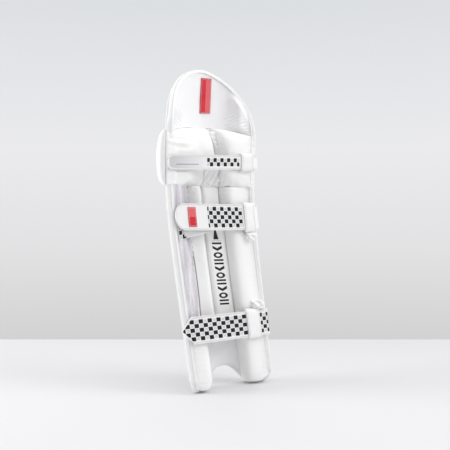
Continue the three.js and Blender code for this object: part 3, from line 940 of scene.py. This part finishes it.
def left_knee_edge(z):
    """Inner edge of the left knee cushion, which reaches over the kneecap at strap height."""
    return 36 * smooth((z - 462) / 36) - 1 - 25 * clamp01((z - 495) / 63) ** 1.8


def right_knee_edge(z):
    """Inner edge of the right knee cushion."""
    return 43 - 16 * clamp01((z - 495) / 63) ** 1.3


def chord_depth(s, plane, least):
    """Depth of a cushion whose face lies in a flat plane across the back, never under the least one."""
    return max(least, CUSHION_BASE_N - chord_n(s, plane))


def knee_depth(limit, least):
    """Depth of a knee cushion: flat across the back, softly held under a limit."""
    return lambda s: soft_least(limit, chord_depth(s, -57, least), 4)


def knee_left_detail(s, z):
    """Pressed in under the strap, puckered at its outer end, softly uneven between."""
    strap = hump(z - TOP_STRAP_Z - 1, 15) * smooth((s + 118) / 40)
    end = smooth((-s - 84) / 22)
    pucker = (math.sin(z / 3.4 + 0.6 * math.sin(z / 9)) + 0.5 * math.sin(z / 1.9)) * end * 1.5
    drag = math.sin((z - 0.12 * s) / 3.1) * hump(z - 508, 12) * smooth((-s - 56) / 30)
    soft = noise.noise(Vector((s / 34, z / 26, 1.7)))
    return -3.2 * strap + 0.9 * pucker + 0.8 * drag + 1.6 * soft


def knee_right_detail(s, z):
    """Pressed in under the strap, with creases that fan out from the keeper."""
    strap = hump(z - TOP_STRAP_Z - 6, 15)
    ends = smooth((s - 84) / 18)
    rays = math.sin((z + 0.5 * (s - 90)) / 2.6) * hump(z - 466, 13) * ends
    above = math.sin((z - 0.4 * s) / 2.8) * hump(z - 503, 9) * ends
    soft = noise.noise(Vector((s / 30, z / 26, 5.2)))
    return -3.2 * strap + 1.5 * rays + 0.9 * above + 1.6 * soft


def gusset_detail(s, z):
    """Slack leather over the kneecap, gathered in diagonal folds."""
    below = math.sin((z - 1.15 * s) / 3.3 + 0.5 * math.sin(z / 7)) * smooth((478 - z) / 14)
    above = math.sin((z + 0.7 * s) / 5.0) * smooth((z - 488) / 10)
    return 2.6 * below + 1.3 * above


def cushion_foot(a):
    """Lower edge of the knee cushions, a little uneven where it is gathered."""
    return KNEE_BOTTOM_Z + 1.6 * math.sin(a * 17) * math.sin(a * 5.3)


cushion("knee_cushion_left_cover", "knee_cushion_left", (120, 110),
        lambda z: (-half_width(z) - 9.5, left_knee_edge(z)),
        lambda a: (cushion_foot(a), seam_z(mix(-KNEE_HALF_WIDTH, 4, a)) - 1),
        knee_depth(36, 10), (3.4, 3.4), knee_left_detail, cover, wrap=(11, 0))
cushion("knee_cushion_right_cover", "knee_cushion_right", (100, 110),
        lambda z: (right_knee_edge(z), half_width(z) + 7.0),
        lambda a: (cushion_foot(a + 1.3), seam_z(mix(30, KNEE_HALF_WIDTH, a)) - 1),
        knee_depth(43, 3), (3.6, 3.4), knee_right_detail, cover, wrap=(0, 6))
cushion("kneecap_gusset_cover", "kneecap_gusset", (40, 110),
        lambda z: (left_knee_edge(z) - 3, right_knee_edge(z) + 4),
        lambda a: (KNEE_BOTTOM_Z + 1, GUSSET_TOP_Z),
        lambda s: 23, (5.0, 6), gusset_detail, cover)


# ---------------- shin cushions

def calf_narrowing(z):
    """0 low on the calf to 1 under the knee, where the middle cushions close up."""
    return smooth((z - 320) / 110)


def left_bolster_edge(z):
    return mix(-70, -48, calf_narrowing(z))


def strip_right_edge(z):
    return mix(50, 43, calf_narrowing(z))


def shin_depth(s, least=7.0):
    return chord_depth(s, -52.2, least)


def soft_detail(seed, amount):
    """Gentle unevenness of a filled cushion."""
    return lambda s, z: amount * noise.noise(Vector((s / 30, z / 60, seed)))


right_bolster_softness = soft_detail(2.2, 1.8)


def right_bolster_detail(s, z):
    """Pressed in under both straps, crumpled beside their keepers."""
    press = 3.0 * hump(z - BOTTOM_STRAP_Z, 26) + 2.4 * hump(z - MIDDLE_STRAP_Z + 1.5, 26)
    beside = (hump(z - 172, 8) + hump(z - 330, 9)) * smooth((s - 86) / 12)
    crumple = math.sin((z + 0.9 * s) / 3.0) * beside
    return right_bolster_softness(s, z) - press + 1.2 * crumple


def wing_depth(s):
    """The wing stands higher towards its free edge."""
    return soft_least(15 + 7 * smooth((s + 92) / 14), shin_depth(s) + 6)


def wing_detail(s, z):
    """Upright creases in the loose fabric, deeper near its free edge."""
    sway = s + 3.5 * math.sin(z / 46) + 0.04 * (z - 240)
    folds = math.sin(sway / 2.5) + 0.6 * math.sin(sway / 4.6 + z / 90)
    return 2.4 * folds + 3.0 * noise.noise(Vector((s / 7, z / 60, 6.6)))


def calf_left_depth(s):
    """The left calf bolster is low beside the wing and crowned beside the centre strip."""
    return mix(20, 29.5, smooth((s + 62) / 38))


def foot_line(left, right):
    """Lower ends of a cushion that follow the curve of the shell's foot."""
    return lambda a: lower_edge(mix(left, right, a)) - 1


left_foot = foot_line(-BASE_HALF_WIDTH + 3, -62)
right_foot = foot_line(66, BASE_HALF_WIDTH - 3)

cushion("ankle_bolster_left_cover", "ankle_bolster_left", (60, 70),
        lambda z: (-BASE_HALF_WIDTH + 3, mix(-68, -56, clamp01(z / ANKLE_TOP_Z))),
        lambda a: (left_foot(a), ANKLE_TOP_Z),
        lambda s: soft_least(28, shin_depth(s) + 3), (2.5, 5), soft_detail(1.1, 1.4), cover)
cushion("calf_bolster_left_cover", "calf_bolster_left", (70, 130),
        lambda z: (left_bolster_edge(z), -5),
        lambda a: (CALF_FOOT_Z, CUSHION_TOP_Z),
        calf_left_depth, (2.0, 9), soft_detail(2.6, 1.6), cover)
cushion("calf_bolster_right_cover", "calf_bolster_right", (90, 190),
        lambda z: (strip_right_edge(z) - 2, half_width(z) - 1),
        lambda a: (right_foot(a), CUSHION_TOP_Z),
        lambda s: soft_least(37, shin_depth(s, 3), 7), (2.3, 9), right_bolster_detail, cover)
cushion("calf_wing_cloth", "calf_wing", (90, 150),
        lambda z: (-half_width(z) + 2, WING_EDGE_S),
        lambda a: (WING_FOOT_Z, CUSHION_TOP_Z),
        wing_depth, (6, 10), wing_detail, wing_weave)


def wing_edge_points(count=90):
    """Line of a dark tape along the wing's free edge, beside the calf cushion, which stands in for the
    shadow in the gap there: painted shadow.
    """
    points = []
    for i in range(count + 1):
        z = mix(WING_FOOT_Z + 4, CUSHION_TOP_Z - 4, i / count)
        s = WING_EDGE_S - 1.1 + 0.5 * math.sin(z / 14)
        points.append(wrapped(s, CUSHION_BASE_N - 21.5 - 1.2 * math.sin(z / 31), z))
    return points


# Painted shadow: a dark cord laid in the gap beside the wing's free edge.
cord_line("calf_wing_gap_shadow_tape", wing_edge_points(), 1.25, gap_shadow_tape)


def centre_strip():
    """Flat printed pad up the middle of the shin; its print reads the marks left on it."""
    def place(a, c, side):
        across, full_across = rounded(a, 5)
        along, full_along = rounded(c, 12)
        z = mix(CALF_FOOT_Z, CUSHION_TOP_Z, along)
        s = mix(STRIP_LEFT_S, strip_right_edge(z), across)
        n = CUSHION_BASE_N
        if side:
            soft = noise.noise(Vector((s / 26, z / 50, 7.7)))
            n -= 0.4 + (19.4 + soft) * full_across * full_along
        return wrapped(s, n, z)

    def marks(a, c):
        z = mix(CALF_FOOT_Z, CUSHION_TOP_Z, rounded(c, 12)[0])
        left, right = STRIP_LEFT_S, strip_right_edge(z)
        s = mix(left, right, rounded(a, 5)[0])
        return z, s - STRIP_MIDDLE_S, min(s - left, right - s)

    piece = two_sided("centre_strip_cover", (80, 150), place, strip_finish(), marks=marks, crease=70)
    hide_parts("shin_strip_pad")


centre_strip()


# ---------------- straps

def smoothed(path, passes=4):
    """A line of points with its corners cut round."""
    for _ in range(passes):
        cut = [path[0]]
        for p, q in zip(path, path[1:]):
            cut += [p.lerp(q, 0.25), p.lerp(q, 0.75)]
        path = cut + [path[-1]]
    return path


class Route:
    """A smooth flat line that gives its point and its direction at a distance along it."""

    def __init__(self, corners):
        self.points = smoothed([Vector(corner) for corner in corners])
        self.reach = [0.0]
        for p, q in zip(self.points, self.points[1:]):
            self.reach.append(self.reach[-1] + (q - p).length)
        self.length = self.reach[-1]

    def at(self, distance):
        i = 0
        while i < len(self.points) - 2 and self.reach[i + 1] < distance:
            i += 1
        p, q = self.points[i], self.points[i + 1]
        share = (distance - self.reach[i]) / max(self.reach[i + 1] - self.reach[i], 1e-9)
        ahead = (q - p).normalized()
        return p.lerp(q, share), ahead


def strap_route(strap):
    """From the free end across the back, through the keeper and round the right-hand edge."""
    edge = half_width(strap["z"])
    middle = strap["plane"] - STRAP_THICKNESS / 2
    back = upright(edge + 6, -2.4)
    corners = [(strap["tip"], middle), (strap["hinge"] + 3, middle), (back[0] - 8, middle)]
    corners += [upright(edge + 7.4, -4), upright(edge + 8.4, 4), upright(edge + 8.6, 12)]
    if strap["z"] < KNEE_BOTTOM_Z:
        corners += [upright(edge + 4, 15.6), upright(edge - 6, 13.0), upright(edge - 20, 12.4)]
    return Route(corners), back[0]


def end_taper(strap, distance):
    """Half width near the free end: a round end or an arrow point."""
    half = strap["width"] / 2
    if strap["point"]:
        return half * mix(0.04, 1, clamp01(distance / (half * 0.95)))
    share = clamp01(distance / (half * 0.9))
    return half * max(0.06, math.sqrt(1 - (1 - share) ** 2.4))


def strap_middle(strap):
    """Where a strap's slope crosses its own height."""
    return (strap["tip"] + strap["hinge"]) / 2


def add_strap(strap):
    """The printed webbing, from its free end to its sewn end. Its cells are finer towards the free end."""
    route, turn_x = strap_route(strap)
    middle = strap_middle(strap)

    def place(a, c, side):
        distance = a ** STRAP_CROWDING * route.length
        point, ahead = route.at(distance)
        half = end_taper(strap, distance)
        share = 2 * c - 1
        wave = 0.7 * noise.noise(Vector((distance / 42, share, strap["z"]))) * smooth(distance / 30)
        z = strap["z"] + strap["rise"] * (min(point.x, turn_x) - middle) + share * half
        curl = -0.5 * share * share * smooth((strap["hinge"] - point.x) / 40)
        off = (STRAP_THICKNESS / 2 * (1 if side else -1)) + wave * 0.5 + curl
        x = point.x - ahead.y * off
        y = point.y + ahead.x * off
        return leaned(x, y, z)

    def marks(a, c):
        distance = a ** STRAP_CROWDING * route.length
        half = end_taper(strap, distance)
        across = (2 * c - 1) * half
        border = half - abs(across)
        if not strap["point"]:
            border = min(border, distance)
        elif distance < strap["width"] / 2:
            border *= 0.72
        return distance + strap["tip"], across, border

    name = strap["name"]
    rim = 1.6 if strap["point"] else 3.6
    finish = strap_finish(f"{name}_webbing", strap["checks"], strap["rows"], strap["pitch"],
                          strap["phase"], strap["outer"], rim, strap["line"])
    piece = two_sided(f"{name}_webbing", (300, 36), place, finish, None, marks, plain_inside=True)
    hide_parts(name, f"{name}_anchor")
    hinge, plane, z = strap["hinge"], strap["plane"], strap["z"]
    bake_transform(piece, "pad", f"{name}_band", leaned(hinge + 5, plane, z), leaned(hinge - 22, plane, z))


def flat_patch(strap, name, node_name, start, end, layer, half, drop, rise, finish, body):
    """A flat sewn patch in a strap's plane. layer holds how far behind the plane its two sides lie."""
    middle = strap_middle(strap)

    def place(a, c, side):
        x = mix(start, end, a)
        z = strap["z"] - drop + rise * (x - middle) + (2 * c - 1) * half
        y = strap["plane"] + layer[side]
        return leaned(x, y + 0.15 * noise.noise(Vector((x / 6, z / 6, 1))), z)

    def marks(a, c):
        x = mix(start, end, a)
        across = (2 * c - 1) * half
        return x, across, min(half - abs(across), x - start, end - x)

    piece = two_sided(name, (90, 40), place, finish, body, marks, plain_inside=True)
    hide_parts(node_name)
    return piece


def add_keeper(strap):
    """Soft white loop sewn over the strap near the right-hand edge."""
    half = strap["width"] / 2
    plane = strap["plane"]
    middle = strap_middle(strap)
    x0, x1 = strap["keeper"]
    arm = [(half + 4.5, plane + 2.2), (half + 2.4, plane + 1.2), (half + 2.2, plane - 4.2)]
    route = Route(arm + [(0, plane - 4.8)] + [(-up, y) for up, y in reversed(arm)])

    def place(a, c, side):
        point, ahead = route.at(a * route.length)
        x = mix(x0, x1, c)
        off = KEEPER_HALF_THICKNESS * (1 if side else -1)
        soft = noise.noise(Vector((point.x / 12, x / 12, strap["z"])))
        puff = 0.5 * math.sin(math.pi * c) + 0.5 * soft
        up, y = point.x - ahead.y * off, point.y + ahead.x * off - puff
        z = strap["z"] + strap["rise"] * (x - middle) + up
        return leaned(x, y, z)

    def marks(a, c):
        border = min(c, 1 - c) * (x1 - x0)
        return a * route.length, 0.0, border

    piece = two_sided(f"{strap['name']}_keeper_loop", (90, 30), place, sewn_cover, marks=marks, crease=60)
    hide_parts(f"{strap['name']}_keeper")


def add_under_tab(strap):
    """The short under-strap with its loop pile, and the hook pile inside the strap's free end."""
    start = -half_width(strap["z"]) * strap["tab_start"]
    half = strap["width"] / 2
    name, drop, rise = strap["name"], strap["tab_drop"], strap["tab_rise"]
    body = f"{name}_under_tab"
    printed = strap_finish(f"{name}_tab_webbing", (start, start + 20), 6, CHECK_PITCH, rim=0.5)
    flat_patch(strap, f"{name}_tab_webbing", f"{name}_tab", start, start + TAB_LENGTH, (3.2, 5.2),
               half - 1, drop, rise, printed, body)
    flat_patch(strap, f"{name}_loop_pile", f"{name}_loop_patch", start + 12, start + TAB_LENGTH - 3,
               (1.8, 2.8), half - 5, drop, rise, hooks, body)
    flat_patch(strap, f"{name}_hook_pile", f"{name}_hook_patch", strap["tip"] + 22, strap["tip"] + 76,
               (0.4, 1.4), half - 4, 0, strap["rise"], hooks, f"{name}_band")


for strap in STRAPS:
    add_strap(strap)
    add_keeper(strap)
    add_under_tab(strap)


# ---------------- sewn patches

def flap_patch():
    """The tall red patch on the top flap's lining, set a little askew."""
    half_width_s, half_height = 13.5, 38

    def place(a, c, side):
        s, z = mix(-2, 24, a), mix(592, 667, c)
        n = CUSHION_BASE_N if side else CUSHION_BASE_N - 1.35
        return wrapped(s, n, z + 0.05 * (s - 12))

    def marks(a, c):
        across, up = mix(-half_width_s, half_width_s, a), mix(-half_height, half_height, c)
        return up, across, min(half_width_s - abs(across), half_height - abs(up))

    piece = two_sided("top_flap_patch_face", (40, 90), place, red, marks=marks)
    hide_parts("top_flap_patch")


flap_patch()
flat_patch(STRAPS[1], "middle_strap_patch_face", "middle_strap_patch", -72, -53, (-3.9, -2.7), 20, 0, 0,
           red, "middle_strap_band")


def bunched_tuft(name, s_mid, n_mid, z_mid, size, seed):
    """Soft surplus of cover, bunched and tucked in beside a strap."""
    bm = bmesh.new()
    bmesh.ops.create_icosphere(bm, subdivisions=5, radius=1.0)
    for corner in bm.verts:
        out = corner.co.copy()
        folds = math.sin(out.x * 7 + 2.2 * noise.noise(out * 1.7 + Vector((seed, 0, 0))) + out.z * 4)
        swell = 1 + 0.10 * folds + 0.34 * noise.noise(out * 1.6 + Vector((seed, seed, 0)))
        s = s_mid + out.x * size[0] * swell
        corner.co = wrapped(s, n_mid + out.y * size[1] * swell, z_mid + out.z * size[2] * swell)
    piece = make_object(bm, name, cover, "pad", crease=80)


bunched_tuft("bottom_strap_tuft", 103, -16, 176, (24, 13, 11), 2.0)
bunched_tuft("middle_strap_tuft", 110, -13, 326, (15, 12, 10), 7.0)

# The foam boards and canes inside keep their solid shapes and only get a finish.
for cad_name, cad_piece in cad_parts.items():
    if not cad_piece.hide_render:
        kept_finish = cane if cad_name.startswith("cane") else foam
        for holder in cad_piece.material_slots:
            holder.material = kept_finish
